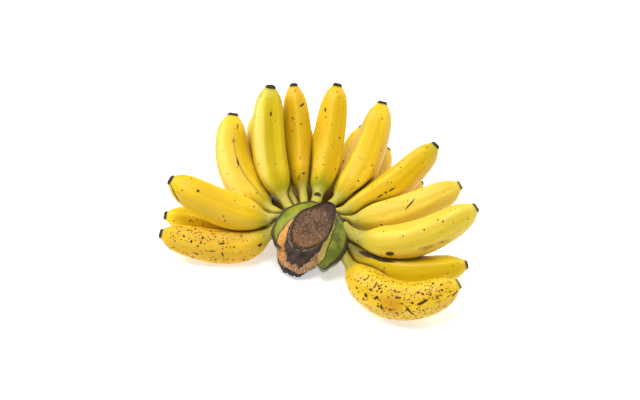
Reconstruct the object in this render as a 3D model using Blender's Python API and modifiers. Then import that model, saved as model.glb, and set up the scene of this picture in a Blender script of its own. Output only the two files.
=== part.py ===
"""A hand of lady finger bananas, lying on a table with its crown towards the front.

Nineteen fingers grow in two rows from one green crown. The crown is a horseshoe cushion
that wraps round the stump of the stalk, which is cut off aslant at the top and torn at
the bottom. Each finger is a loft from its round stem through its soft-ridged body to its
blunt dry tip. Fingers that touch are pressed flat against each other, as they grew.
"""
import math
from collections import namedtuple

import bmesh
import bpy
import numpy as np
from mathutils import Vector

MM = 0.001

# Gaps that touching pieces keep
CUT_GAP = 0.35 * MM
STUMP_GAP = 0.6 * MM
PRESS_GAP = 0.7 * MM

# The crown, whose axis leans towards the front
CROWN_CENTRE = np.array([-6.0, -32.0, 35.0]) * MM
CROWN_TILT = math.radians(27)
CROWN_RIGHT = np.array([1.0, 0.0, 0.0])
CROWN_BACK = np.array([0.0, math.cos(CROWN_TILT), math.sin(CROWN_TILT)])
CROWN_UP = np.array([0.0, -math.sin(CROWN_TILT), math.cos(CROWN_TILT)])

# The fingers' middles sag along an axis that leans less
FAN_TILT = math.radians(20)
FAN_UP = np.array([0.0, -math.sin(FAN_TILT), math.cos(FAN_TILT)])

# The crown's cushion from its top down to its underside: distance from the axis and height
# on it, in mm. The rim is the widest point.
CUSHION_STEPS = 48
CUSHION_OUTLINE = [(0, 7.5), (14, 7.0), (24, 4.4), (30, 1.4), (33.6, -1.2), (34.6, -3.5),
                   (34.2, -10), (32.6, -17), (30, -21.5), (26, -24), (0, -24)]

# The gap at the cushion's front, seen along its axis: distance from the axis in mm and angle
# round it in degrees. It has round shoulders on both sides of the stump.
OPENING_OUTLINE = [(0, 0), (26, 206), (31, 202), (34, 196), (40, 188), (70, 184), (70, 226),
                   (70, 268), (70, 312), (40, 306), (34, 298), (30, 291), (26, 286)]
OPENING_HEIGHT = 90.0 * MM

# Where the stems sink into the crown: the distance from its axis where they start, and
# the height of each row of roots on that axis, both in mm
ROOT_RADIUS = {"upper": 30.0, "lower": 28.0, "between": 29.0}
ROOT_LEVEL = {"upper": -6.0, "lower": -15.0, "between": -10.0}

# The finger's section, and how it goes along its length: how it grows from the stem's
# thickness to the body's, from the stem's end to the full body, the body's share of its full
# width, and the stem's flare where it leaves the crown
FINGER_SIDES = 15
FINGER_RIDGES = 5
RIDGE_RISE = 0.022
LINE_STEPS = 120
GROWTH = [(0.00, 0.0), (0.12, 0.15), (0.24, 0.44), (0.40, 0.73), (0.60, 0.92), (1.00, 1.0)]
BODY_FULL = 0.46
TAPER = [(0.00, 1.0), (0.46, 1.0), (0.60, 0.98), (0.74, 0.92), (0.85, 0.81), (0.92, 0.65),
         (0.96, 0.46), (0.985, 0.30), (1.00, 0.22)]
STEM_FLARE = 0.3
FLARE_END = 0.05
RING_PLACES = [0.0, 0.05, 0.09, 0.13, 0.17, 0.22, 0.28, 0.35, 0.43, 0.51, 0.59, 0.67, 0.75,
               0.82, 0.88, 0.93, 0.965, 0.984, 1.0]

# Shares of the length: where the ridges start, and how soon they are full from either end
RIDGES_FROM_STEM = 0.12
RIDGES_GROW = 0.15
RIDGES_FADE = 0.12
TIP_DOME = 0.6 * MM
SMOOTH_ANGLE = math.radians(50)

# Pressing looks for the largest share of a point's reach that is clear, by halving
LEAST_REACH = 0.1
HALVINGS = 12

# One finger: the row of its root and the root's angle round the crown, the place of its tip,
# the sag of its middle and how far that leans, its width and depth, its stem's thickness
# and length, in mm and degrees, and how much nearer the root than the tip it sags most
Finger = namedtuple("Finger", "row angle tip sag lean width depth stem neck skew", defaults=[0.25])

# From the left end round the back to the right end
UPPER_ROW = [
    Finger("upper", 154, (-139, -18.5, 27), 17, 35, 27, 31, 10, 12, 0.4),
    Finger("upper", 141, (-129, 4.5, 70.5), 9, 35, 30, 33, 10, 13),
    Finger("upper", 134, (-77, 85, 81), 24.5, 45, 34, 34, 7.5, 20, -0.1),
    Finger("upper", 122, (-41, 77, 118.5), 18, 33, 30, 32, 8, 17, 0.15),
    Finger("upper", 99, (-21, 90.5, 110.5), 16, 0, 26, 31, 7.5, 21),
    Finger("upper", 82, (19, 88.5, 112), 16, 0, 29, 31, 9.5, 16),
    Finger("upper", 68, (60, 81.5, 97), 18, -28, 31, 31, 8, 17),
    Finger("upper", 54, (108, 48, 74.5), 17, -15, 27.5, 32, 8.5, 13),
    Finger("upper", 38, (128, 12.5, 57), 11, -30, 28, 31, 8.5, 13),
    Finger("upper", 19, (138, -25, 64.5), 20, -76, 30, 31.5, 12.5, 17),
    Finger("between", -16, (120, -86, 33), 30.5, -85, 30, 34, 9.5, 16, -0.15),
]
LOWER_ROW = [
    Finger("lower", 150, (-138, 9, 23.5), 13.5, -10, 27, 29, 7, 15),
    Finger("between", 129, (-88, 93, 37), 23.5, 10, 27, 29, 7.5, 16, 0.0),
    Finger("between", 108, (-55, 98, 71), 13, 34, 27, 29, 7.5, 22, -0.75),
    Finger("lower", 94, (-14, 105.5, 56), 30.3, 0, 28, 29, 7.5, 20),
    Finger("lower", 74, (44, 102.5, 51.5), 28.5, 0, 27, 29, 7.5, 20),
    Finger("lower", 57, (67, 93, 32.5), 19, -25, 27, 29, 7.5, 18),
    Finger("lower", 37, (97, 55.5, 23.5), 15.5, -45, 26, 29, 7.5, 16),
    Finger("between", 6, (131, -52, 21.5), 18.6, -74, 27, 29, 11, 11),
]

# The stump of the stalk, from the torn bottom up to the slanting cut. Each section has a
# centre, a long and a short half width, a turn of the long one and a slope, in mm and degrees.
Section = namedtuple("Section", "centre long short turn slope")
STUMP_SIDES = 24
STUMP_SECTIONS = [
    Section((-14.5, -35, 3.2), 17.7, 15.2, 0, 0),
    Section((-14.5, -34.5, 8), 19.5, 16, 0, 2),
    Section((-13, -33, 20), 21.8, 17, 10, 14),
    Section((-9, -31, 32), 23.8, 17.2, 28, 30),
    Section((-4.5, -30, 43.5), 25.3, 17, 43, 43),
    Section((-2.4, -29.7, 48.3), 24.8, 15.9, 47, 45),
]
ROOM_ABOVE_CUT = 15.0 * MM
TEAR_DEPTH = 1.6 * MM
TEAR_WAVES = 5
# The tear rises at the right of the front, in the lowest two sections
TEAR_LIFT = 7.0 * MM
TEAR_LIFT_ANGLE = math.radians(-35)
LIFT_SHARES = [1.0, 0.6, 0.0, 0.0, 0.0, 0.0]
# Towards the cut, the end that points up and to the right grows narrow
NARROW_END = 0.15
NARROW_SHARES = [0.0, 0.0, 0.0, 0.2, 0.8, 1.0]


def clear_scene():
    """Remove every object, so that the script can be run again."""
    for old in list(bpy.data.objects):
        bpy.data.objects.remove(old, do_unlink=True)


def make_collection(name):
    """Add a collection to the scene."""
    group = bpy.data.collections.new(name)
    bpy.context.scene.collection.children.link(group)
    return group


def make_material(name, colour, roughness):
    """A Principled material of one colour; nothing on the fruit is metal."""
    material = bpy.data.materials.new(name)
    material.use_nodes = True
    shader = material.node_tree.nodes["Principled BSDF"]
    shader.inputs["Base Color"].default_value = (*colour, 1.0)
    shader.inputs["Roughness"].default_value = roughness
    shader.inputs["Metallic"].default_value = 0.0
    return material


def unit(vector):
    return vector / np.linalg.norm(vector)


def crown_point(degrees, radius, level):
    """A point at an angle round the crown, at a distance from its axis and a height on it."""
    angle = math.radians(degrees)
    around = math.cos(angle) * CROWN_RIGHT + math.sin(angle) * CROWN_BACK
    return CROWN_CENTRE + (radius * around + level * CROWN_UP) * MM


def eased(points, places):
    """Read a smooth curve through the points that never overshoots them."""
    xs = np.array([point[0] for point in points])
    ys = np.array([point[1] for point in points])
    step = np.diff(xs)
    slope = np.diff(ys) / step
    tangent = np.zeros(len(xs))
    tangent[0] = slope[0]
    tangent[-1] = slope[-1]
    for i in range(1, len(xs) - 1):
        if slope[i - 1] * slope[i] > 0:
            near = 2 * step[i] + step[i - 1]
            far = step[i] + 2 * step[i - 1]
            tangent[i] = (near + far) / (near / slope[i - 1] + far / slope[i])
    i = np.clip(np.searchsorted(xs, places, side="right") - 1, 0, len(xs) - 2)
    t = (places - xs[i]) / step[i]
    start = (2 * t**3 - 3 * t**2 + 1) * ys[i] + (t**3 - 2 * t**2 + t) * step[i] * tangent[i]
    end = (3 * t**2 - 2 * t**3) * ys[i + 1] + (t**3 - t**2) * step[i] * tangent[i + 1]
    return start + end


class Line:
    """The middle line of one finger, with its frame and half widths at even steps."""

    def __init__(self, finger):
        root = crown_point(finger.angle, ROOT_RADIUS[finger.row], ROOT_LEVEL[finger.row])
        chord = np.array(finger.tip) * MM - root
        along = unit(chord)
        sag = unit(-FAN_UP + along * (FAN_UP @ along))
        lean = math.radians(finger.lean)
        sag = sag * math.cos(lean) + np.cross(along, sag) * math.sin(lean)
        t = np.linspace(0, 1, 4 * LINE_STEPS)[:, None]
        bow = 4 * t * (1 - t) * (1 + finger.skew * (1 - 2 * t))
        path = root + chord * t + sag * finger.sag * MM * bow
        run = np.concatenate([[0], np.cumsum(np.linalg.norm(np.diff(path, axis=0), axis=1))])
        self.places = np.linspace(0, 1, LINE_STEPS + 1)
        self.points = np.stack([np.interp(self.places * run[-1], run, path[:, i]) for i in range(3)], 1)
        self.tangent = np.gradient(self.points, axis=0)
        self.tangent /= np.linalg.norm(self.tangent, axis=1)[:, None]
        self.side = np.cross(self.tangent, sag)
        self.side /= np.linalg.norm(self.side, axis=1)[:, None]
        self.outward = np.cross(self.side, self.tangent)
        # The stem is round, and the body is deeper than it is wide
        neck = finger.neck * MM / run[-1]
        growth = eased(GROWTH, np.clip((self.places - neck) / (BODY_FULL - neck), 0, 1))
        taper = eased(TAPER, self.places)
        flare = 1 + STEM_FLARE * np.clip(1 - self.places / FLARE_END, 0, 1)
        stem = finger.stem / 2 * MM * flare
        self.half_width = stem + growth * (finger.width / 2 * MM * taper - stem)
        self.half_depth = stem + growth * (finger.depth / 2 * MM * taper - stem)

    def distance(self, points):
        """How far each point is outside the finger's skin, below zero inside it."""
        offset = points[:, None, :] - self.points[None, :, :]
        nearest = np.argmin(np.einsum("pij,pij->pi", offset, offset), axis=1)
        offset = offset[np.arange(len(points)), nearest]
        wide = self.half_width[nearest]
        deep = self.half_depth[nearest]
        mean = (wide + deep) / 2
        across = np.einsum("pi,pi->p", offset, self.side[nearest]) / wide
        outward = np.einsum("pi,pi->p", offset, self.outward[nearest]) / deep
        ahead = np.einsum("pi,pi->p", offset, self.tangent[nearest]) / mean
        return (np.sqrt(across**2 + outward**2 + ahead**2) - 1) * mean


def finger_rings(line):
    """Rings of points round a finger, before anything presses on it, and their centres."""
    places = np.array(RING_PLACES)
    index = np.rint(places * LINE_STEPS).astype(int)
    angles = np.arange(FINGER_SIDES) / FINGER_SIDES * 2 * math.pi
    # The ridges fade out towards the stem and the tip
    growing = (places - RIDGES_FROM_STEM) / RIDGES_GROW
    fade = np.clip(np.minimum(growing, (1 - places) / RIDGES_FADE), 0, 1)
    ridge = 1 + RIDGE_RISE * fade[:, None] * np.cos(FINGER_RIDGES * angles + math.pi / 2)[None, :]
    across = line.half_width[index][:, None] * np.cos(angles)[None, :] * ridge
    outward = line.half_depth[index][:, None] * np.sin(angles)[None, :] * ridge
    centres = line.points[index]
    rings = (centres[:, None, :] + across[:, :, None] * line.side[index][:, None, :]
             + outward[:, :, None] * line.outward[index][:, None, :])
    return rings, centres


def press(own, others, rings, centres):
    """Pull points in towards the finger's middle until each neighbour has its own room."""
    shape = rings.shape
    spokes = (rings - centres[:, None, :]).reshape(-1, 3)
    middles = np.repeat(centres, shape[1], axis=0)

    def is_clear(share, rows):
        points = middles[rows] + spokes[rows] * share[:, None]
        own_distance = own.distance(points)
        clear = np.ones(len(rows), bool)
        for other in others:
            clear &= other.distance(points) - own_distance >= PRESS_GAP
        return clear

    share = np.ones(len(spokes))
    pressed = np.flatnonzero(~is_clear(share, np.arange(len(spokes))))
    low = np.full(len(pressed), LEAST_REACH)
    high = np.ones(len(pressed))
    for _ in range(HALVINGS):
        middle = (low + high) / 2
        clear = is_clear(middle, pressed)
        low = np.where(clear, middle, low)
        high = np.where(clear, high, middle)
    share[pressed] = low
    rings = (middles + spokes * share[:, None]).reshape(shape)
    rings[:, :, 2] = np.maximum(rings[:, :, 2], 0.0)
    return rings


def loft(name, rings, start, end, material, group):
    """A closed skin over rings of points, with a fan over each end."""
    mesh = bpy.data.meshes.new(name)
    build = bmesh.new()
    grid = [[build.verts.new(point) for point in ring] for ring in rings]
    count = len(grid[0])
    for near, far in zip(grid, grid[1:]):
        for i in range(count):
            j = (i + 1) % count
            build.faces.new((near[i], near[j], far[j]))
            build.faces.new((near[i], far[j], far[i]))
    for ring, point, turned in ((grid[0], start, False), (grid[-1], end, True)):
        centre = build.verts.new(point)
        for i in range(count):
            j = (i + 1) % count
            corners = (ring[i], ring[j]) if turned else (ring[j], ring[i])
            build.faces.new((*corners, centre))
    bmesh.ops.recalc_face_normals(build, faces=build.faces)
    build.to_mesh(mesh)
    build.free()
    mesh.shade_smooth()
    mesh.set_sharp_from_angle(angle=SMOOTH_ANGLE)
    piece = bpy.data.objects.new(name, mesh)
    if material:
        mesh.materials.append(material)
    group.objects.link(piece)
    return piece


def cut(piece, cutter):
    """Take the cutter's shape out of a piece."""
    boolean = piece.modifiers.new("cut", "BOOLEAN")
    boolean.operation = "DIFFERENCE"
    boolean.object = cutter
    boolean.solver = "EXACT"


def hide_cutter(cutter):
    cutter.hide_render = True
    cutter.display_type = "WIRE"


def make_crown_disc(name, grow, material, group):
    """The crown before it is opened: a turned cushion with a rounded rim, grown all over."""
    points = [Vector((radius, 0, level)) * MM for radius, level in CUSHION_OUTLINE]
    for i in range(1, len(points) - 1):
        way = (points[i + 1] - points[i - 1]).normalized()
        points[i] += Vector((-way.z, 0, way.x)) * grow
    points[0].z += grow
    points[-1].z -= grow
    mesh = bpy.data.meshes.new(name)
    mesh.from_pydata(points, [(i, i + 1) for i in range(len(points) - 1)], [])
    disc = bpy.data.objects.new(name, mesh)
    disc.location = CROWN_CENTRE
    disc.rotation_euler = (CROWN_TILT, 0, 0)
    group.objects.link(disc)
    screw = disc.modifiers.new("turn", "SCREW")
    screw.axis = "Z"
    screw.angle = 2 * math.pi
    screw.steps = CUSHION_STEPS
    screw.render_steps = CUSHION_STEPS
    screw.use_merge_vertices = True
    screw.merge_threshold = 0.00001
    if material:
        mesh.materials.append(material)
    return disc


def make_opening(group):
    """The gap where the crown stays open at the front, round the stump."""
    mesh = bpy.data.meshes.new("crown_opening")
    build = bmesh.new()
    corners = []
    for radius, degrees in OPENING_OUTLINE:
        angle = math.radians(degrees)
        place = Vector((radius * math.cos(angle), radius * math.sin(angle), 0)) * MM
        place.z = -OPENING_HEIGHT / 2
        corners.append(build.verts.new(place))
    base = build.faces.new(corners)
    top = bmesh.ops.extrude_face_region(build, geom=[base])
    raised = [item for item in top["geom"] if isinstance(item, bmesh.types.BMVert)]
    bmesh.ops.translate(build, verts=raised, vec=(0, 0, OPENING_HEIGHT))
    bmesh.ops.recalc_face_normals(build, faces=build.faces)
    build.to_mesh(mesh)
    build.free()
    wedge = bpy.data.objects.new("crown_opening", mesh)
    wedge.location = CROWN_CENTRE
    wedge.rotation_euler = (CROWN_TILT, 0, 0)
    group.objects.link(wedge)
    hide_cutter(wedge)
    return wedge


def make_stump(name, grow, material, group):
    """The stalk's stump: oval sections that lean and turn as they rise to the cut.

    Where it is grown, to make room for itself, it also reaches up past the cut.
    """
    rings = []
    for number, section in enumerate(STUMP_SECTIONS):
        slope = math.radians(section.slope)
        uphill = np.array([0.0, math.cos(slope), math.sin(slope)])
        long = section.long * MM + grow
        short = section.short * MM + grow
        ring = []
        for i in range(STUMP_SIDES):
            angle = 2 * math.pi * i / STUMP_SIDES
            turned = angle - math.radians(section.turn)
            radius = long * short / math.hypot(short * math.cos(turned), long * math.sin(turned))
            if math.cos(turned) > 0:
                radius *= 1 - NARROW_END * NARROW_SHARES[number] * math.sin(2 * turned) ** 2
            point = np.array(section.centre) * MM
            point = point + radius * (math.cos(angle) * CROWN_RIGHT + math.sin(angle) * uphill)
            lift = max(math.cos(angle - TEAR_LIFT_ANGLE), 0) ** 2
            point[2] += TEAR_LIFT * LIFT_SHARES[number] * lift
            if number == 0:
                point[2] += TEAR_DEPTH * math.sin(TEAR_WAVES * angle) - grow
            ring.append(point)
        rings.append(np.array(ring))
    if grow:
        rings.append(rings[-1] + ROOM_ABOVE_CUT * CROWN_UP)
    bottom = rings[0].mean(axis=0)
    top = rings[-1].mean(axis=0)
    return loft(name, rings, bottom, top, material, group)


def build_hand():
    clear_scene()
    parts = make_collection("lady_finger_banana_hand")
    cutters = make_collection("cutters")
    skin = make_material("ripe_yellow_skin", (0.78, 0.55, 0.05), 0.45)
    green = make_material("green_crown", (0.28, 0.36, 0.05), 0.55)
    bark = make_material("dry_brown_stalk", (0.13, 0.07, 0.04), 0.85)

    stump_room = make_stump("stump_room", STUMP_GAP, None, cutters)
    hide_cutter(stump_room)
    crown_room = make_crown_disc("crown_room", CUT_GAP, None, cutters)
    hide_cutter(crown_room)
    opening = make_opening(cutters)

    make_stump("stalk_stump", 0.0, bark, parts)
    crown = make_crown_disc("crown", 0.0, green, parts)
    cut(crown, stump_room)
    cut(crown, opening)

    named = [("upper_finger_%02d" % (i + 1), Line(finger)) for i, finger in enumerate(UPPER_ROW)]
    named += [("lower_finger_%02d" % (i + 1), Line(finger)) for i, finger in enumerate(LOWER_ROW)]
    for name, line in named:
        others = [other for other_name, other in named if other_name != name]
        rings, centres = finger_rings(line)
        rings = press(line, others, rings, centres)
        tip = centres[-1] + TIP_DOME * line.tangent[-1]
        finger = loft(name, rings, centres[0], tip, skin, parts)
        cut(finger, crown_room)


build_hand()
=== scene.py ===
"""The looks of a hand of lady finger bananas: two rows of ripe fingers on a green crown.

The sections follow the fruit outwards: the stump of the stalk, the crown round it, the
fingers that grow from the crown, and then the table, the light and the camera.
"""

import math
from collections import namedtuple

import bmesh
import bpy
import numpy as np
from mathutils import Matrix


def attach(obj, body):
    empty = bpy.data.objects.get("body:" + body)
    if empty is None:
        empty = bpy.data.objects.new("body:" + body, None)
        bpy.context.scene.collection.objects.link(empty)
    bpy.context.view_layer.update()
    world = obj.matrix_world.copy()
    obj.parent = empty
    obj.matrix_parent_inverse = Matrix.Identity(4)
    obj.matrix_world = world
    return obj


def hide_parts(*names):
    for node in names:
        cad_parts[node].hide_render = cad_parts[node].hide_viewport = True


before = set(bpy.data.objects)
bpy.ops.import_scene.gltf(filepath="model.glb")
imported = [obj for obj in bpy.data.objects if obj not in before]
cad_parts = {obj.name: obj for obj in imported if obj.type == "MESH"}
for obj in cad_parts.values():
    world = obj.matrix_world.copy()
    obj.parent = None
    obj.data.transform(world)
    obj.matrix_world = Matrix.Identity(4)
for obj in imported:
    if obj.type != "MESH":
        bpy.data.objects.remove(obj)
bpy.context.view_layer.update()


# THE STUMP OF THE STALK
# The stalk of the bunch, cut off aslant at the top and torn off at the bottom. It is dry
# stringy tissue: brown fibres on the cut, black dried rind below it, and orange pith where
# the rind has gone. It grows up through the crown.

MM = 0.001
Section = namedtuple("Section", "centre long short turn slope")
STUMP_SECTIONS = [
    Section((-14.5, -35, 3.2), 17.7, 15.2, 0, 0),
    Section((-14.5, -34.5, 8), 19.5, 16, 0, 2),
    Section((-13, -33, 20), 21.8, 17, 10, 14),
    Section((-9, -31, 32), 23.8, 17.2, 28, 30),
    Section((-4.5, -30, 43.5), 25.3, 17, 43, 43),
    Section((-2.4, -29.7, 48.3), 24.8, 15.9, 47, 45),
]
STUMP_RINGS = 84
STUMP_SIDES = 180
CUT_RINGS = 40
# How much narrower the upper end of the cut is, as a share, and in mm: how far the rind's
# strings and lumps stand out, how deep the cut is dished, how rough it is, and how deep the
# bottom is torn and how far it is torn away at one side
NARROW_END = 0.15
STRING_RISE = 0.28
LUMP_RISE = 0.5
CUT_DISH = 1.1
CUT_ROUGHNESS = 0.45
TEAR_DEPTH = 1.32
TEAR_LIFT = 7.0
TEAR_LIFT_ANGLE = math.radians(-35)


def unit(vector):
    return vector / np.linalg.norm(vector)


def units(vectors):
    return vectors / np.linalg.norm(vectors, axis=-1, keepdims=True)


def eased(points, places):
    """Read a smooth curve through the points that never overshoots them."""
    xs, ys = np.array(points, float).T
    step = np.diff(xs)
    slope = np.diff(ys) / step
    tangent = np.zeros(len(xs))
    tangent[0] = slope[0]
    tangent[-1] = slope[-1]
    for i in range(1, len(xs) - 1):
        if slope[i - 1] * slope[i] > 0:
            near = 2 * step[i] + step[i - 1]
            far = step[i] + 2 * step[i - 1]
            tangent[i] = (near + far) / (near / slope[i - 1] + far / slope[i])
    i = np.clip(np.searchsorted(xs, places, side="right") - 1, 0, len(xs) - 2)
    t = (places - xs[i]) / step[i]
    start = (2 * t**3 - 3 * t**2 + 1) * ys[i] + (t**3 - 2 * t**2 + t) * step[i] * tangent[i]
    end = (3 * t**2 - 2 * t**3) * ys[i + 1] + (t**3 - t**2) * step[i] * tangent[i + 1]
    return start + end


def eased_at(points, place):
    return float(eased(points, np.array([place]))[0])


def soft_step(low, high, value):
    """Rise smoothly from 0 to 1 as the value goes from low to high."""
    t = np.clip((value - low) / (high - low), 0, 1)
    return t * t * (3 - 2 * t)


def waves(points, longest, shortest, count, seed):
    """A smooth random relief between about -1 and 1, made of waves in random directions."""
    chance = np.random.default_rng(seed)
    relief = np.zeros(points.shape[:-1])
    for _ in range(count):
        way = unit(chance.normal(size=3))
        length = chance.uniform(shortest, longest)
        phase = chance.uniform(0, 2 * math.pi)
        relief += np.sin(points @ way * (2 * math.pi / length) + phase)
    return relief / math.sqrt(count)


def grown_piece(name, rings, ends, material, node, numbers):
    """A smooth closed skin over rings of points, carrying its numbers to its material."""
    count = rings.shape[1]
    points = np.concatenate([rings.reshape(-1, 3), np.array(ends)])
    last = (len(rings) - 1) * count
    faces = []
    for near in range(0, last, count):
        for i in range(count):
            j = (i + 1) % count
            faces.append((near + i, near + j, near + count + j, near + count + i))
    for i in range(count):
        j = (i + 1) % count
        faces.append((j, i, len(points) - 2))
        faces.append((last + i, last + j, len(points) - 1))
    mesh = bpy.data.meshes.new(name)
    mesh.from_pydata(points.tolist(), [], faces)
    build = bmesh.new()
    build.from_mesh(mesh)
    bmesh.ops.recalc_face_normals(build, faces=build.faces)
    build.to_mesh(mesh)
    build.free()
    mesh.shade_smooth()
    for label, (body, tips) in numbers.items():
        values = np.concatenate([body.reshape(len(points) - 2, -1), np.array(tips).reshape(2, -1)])
        kind, field = ("FLOAT_VECTOR", "vector") if values.shape[1] == 3 else ("FLOAT", "value")
        mesh.attributes.new(label, kind, "POINT").data.foreach_set(field, values.ravel())
    mesh.materials.append(material)
    piece = bpy.data.objects.new(name, mesh)
    bpy.context.scene.collection.objects.link(piece)
    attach(piece, "root")
    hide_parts(node)


def tint(code):
    """A screen colour such as F2CE3A as the linear colour that a shader takes."""
    parts = [int(code[i:i + 2], 16) / 255 for i in (0, 2, 4)]
    return tuple(((c + 0.055) / 1.055) ** 2.4 if c > 0.04045 else c / 12.92 for c in parts) + (1.0,)


class Finish:
    """A Principled material that is built up node by node."""

    def __init__(self, name, roughness):
        self.material = bpy.data.materials.new(name)
        self.material.use_nodes = True
        self.tree = self.material.node_tree
        self.shader = self.tree.nodes["Principled BSDF"]
        self.shader.inputs["Roughness"].default_value = roughness
        self.shader.inputs["Metallic"].default_value = 0.0
        self.colour = None

    def node(self, kind, inputs, **settings):
        """Add a node: an input that is a socket is linked, and any other is set."""
        made = self.tree.nodes.new(kind)
        for name, value in settings.items():
            setattr(made, name, value)
        for name, value in inputs.items():
            if isinstance(value, bpy.types.NodeSocket):
                self.tree.links.new(value, made.inputs[name])
            else:
                made.inputs[name].default_value = value
        return made

    def number(self, name):
        return self.node("ShaderNodeAttribute", {}, attribute_name=name).outputs["Fac"]

    def place(self, name):
        return self.node("ShaderNodeAttribute", {}, attribute_name=name).outputs["Vector"]

    def stretched(self, place, x, y, z):
        """The place with its three directions scaled, to draw a pattern out along one."""
        return self.node("ShaderNodeMapping", {"Vector": place, "Scale": (x, y, z)}).outputs["Vector"]

    def noise(self, place, scale, detail=3.0, rough=0.55):
        inputs = {"Vector": place, "Scale": scale, "Detail": detail, "Roughness": rough}
        return self.node("ShaderNodeTexNoise", inputs).outputs["Fac"]

    def sum(self, kind, first, second=0.0):
        """One step of arithmetic."""
        inputs = {0: first, 1: second}
        return self.node("ShaderNodeMath", inputs, operation=kind).outputs["Value"]

    def times(self, first, second):
        return self.sum("MULTIPLY", first, second)

    def sway(self, noise, size):
        """The noise as a drift to both sides of 0."""
        return self.times(self.sum("SUBTRACT", noise, 0.5), size)

    def step(self, value, low, high, least=0.0, most=1.0):
        """Carry the value smoothly from least at low to most at high."""
        inputs = {"Value": value, "From Min": low, "From Max": high, "To Min": least, "To Max": most}
        return self.node("ShaderNodeMapRange", inputs, interpolation_type="SMOOTHSTEP").outputs["Result"]

    def layer(self, share, under, over):
        """One colour laid over another, each a socket, a linear colour or a screen code."""
        under, over = (tint(value) if isinstance(value, str) else value for value in (under, over))
        # The factor and the two colours of a Mix node, and then its result
        inputs = {0: share, 6: under, 7: over}
        return self.node("ShaderNodeMix", inputs, data_type="RGBA").outputs[2]

    def paint(self, share, over, strength=None):
        """Lay a colour over the colours so far."""
        share = self.times(share, strength) if strength else share
        self.colour = self.layer(share, self.colour, over)

    def bump(self, height, depth, under=None):
        """Relief of the given depth in metres, on top of another relief if there is one."""
        inputs = {"Height": height, "Distance": depth}
        if under:
            inputs["Normal"] = under
        return self.node("ShaderNodeBump", inputs).outputs["Normal"]

    def spots(self, place, spacing, most, share):
        """Round spots of many sizes, up to a radius in mm, on a share of even places."""
        inputs = {"Vector": place, "Scale": 1 / spacing, "Randomness": 1.0}
        cells = self.node("ShaderNodeTexVoronoi", inputs)
        chance = self.node("ShaderNodeSeparateColor", {"Color": cells.outputs["Color"]}).outputs["Red"]
        radius = self.step(chance, self.sum("SUBTRACT", 1.0, share), 1.0, 0.0, most / spacing)
        inside = self.sum("SUBTRACT", radius, cells.outputs["Distance"])
        return self.step(inside, 0.0, 0.16 / spacing)

    def complete(self, relief):
        """Lead the colour and the relief to the shader, and hand over the material."""
        self.tree.links.new(self.colour, self.shader.inputs["Base Color"])
        self.tree.links.new(relief, self.shader.inputs["Normal"])
        self.shader.inputs["Specular IOR Level"].default_value = 0.25
        return self.material


# Where the black rind ends below the cut, in mm, at angles round the stump from the right
RIND_DEPTH = [(0, 6), (40, 2.5), (90, 2.5), (130, 4), (170, 8), (205, 12), (235, 17),
              (250, 19), (264, 24), (280, 18), (298, 14), (320, 10), (345, 7.5), (360, 6)]
# How high the dark torn edge of the bottom reaches, in mm, at the same angles
TORN_HEIGHT = [(0, 3), (90, 3), (165, 7), (195, 14), (215, 12), (235, 7.5),
               (262, 4.5), (300, 3), (360, 3)]


def make_stump_finish():
    finish = Finish("dry_stalk", 0.85)
    place = finish.place("grain")
    below_cut = finish.number("below_cut")
    strings = finish.noise(finish.stretched(place, 1.0, 1.0, 0.12), 0.9, 4.0, 0.65)
    wander = finish.noise(place, 0.16, 4.0, 0.6)
    # The pith: orange at the left and tan at the right, in pale and brown stringy strips
    pith = finish.layer(finish.step(finish.number("rightness"), 0.15, 0.75), "D58F40", "C9966A")
    pith = finish.layer(finish.step(strings, 0.50, 0.66), pith, "EBCDA6")
    pith = finish.layer(finish.step(strings, 0.46, 0.32), pith, "83552F")
    # The rind: grey-black, with thin pale lines where its layers end
    rind = finish.layer(finish.step(wander, 0.35, 0.7), "43362F", "6E5A4E")
    rind = finish.layer(finish.step(strings, 0.58, 0.72, 0.0, 0.6), rind, "9A8571")
    uneven = finish.sway(wander, 14.0)
    frayed = finish.sum("ADD", uneven, finish.sway(strings, 7.0))
    past_rind = finish.sum("SUBTRACT", finish.sum("ADD", below_cut, frayed), finish.number("rind_end"))
    side = finish.layer(finish.step(past_rind, -0.6, 0.8), rind, pith)
    above_tear = finish.sum("ADD", finish.number("above_tear"), frayed)
    past_tear = finish.sum("SUBTRACT", above_tear, finish.number("torn_height"))
    side = finish.layer(finish.step(past_tear, 0.9, -0.9), side, "453C37")
    # One layer of the rind ends in a pale broken line close below the cut
    line_depth = finish.sum("ADD", below_cut, finish.times(uneven, 0.12))
    beside_line = finish.sum("ABSOLUTE", finish.sum("SUBTRACT", line_depth, 2.4))
    broken = finish.step(finish.noise(place, 0.22, 2.0), 0.42, 0.56)
    line = finish.times(finish.step(beside_line, 0.55, 0.15), broken)
    side = finish.layer(line, side, "B9A58C")
    # The cut: matted brown fibres with dark pits and pale flecks, rusty at the lower left
    mat = finish.noise(place, 0.75, 5.0, 0.7)
    fibre = finish.noise(finish.stretched(place, 1.0, 0.45, 1.0), 1.15, 4.0, 0.75)
    cut = finish.layer(finish.step(wander, 0.34, 0.66), "6B4B39", "8E6B50")
    rust = finish.times(finish.number("rust"), finish.step(mat, 0.35, 0.6))
    cut = finish.layer(rust, cut, "A8702E")
    cut = finish.layer(finish.step(mat, 0.47, 0.38), cut, "2E1D18")
    cut = finish.layer(finish.step(fibre, 0.53, 0.62, 0.0, 0.9), cut, "C9AE8E")
    cut = finish.layer(finish.number("narrow"), cut, "5A4038")
    cut = finish.layer(finish.step(finish.number("to_rim"), 0.88, 0.97, 0.0, 0.8), cut, "33241F")
    finish.colour = finish.layer(finish.number("on_cut"), side, cut)
    coarse = finish.bump(mat, 1.6 * MM)
    return finish.complete(finish.bump(strings, 0.9 * MM, coarse))


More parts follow.
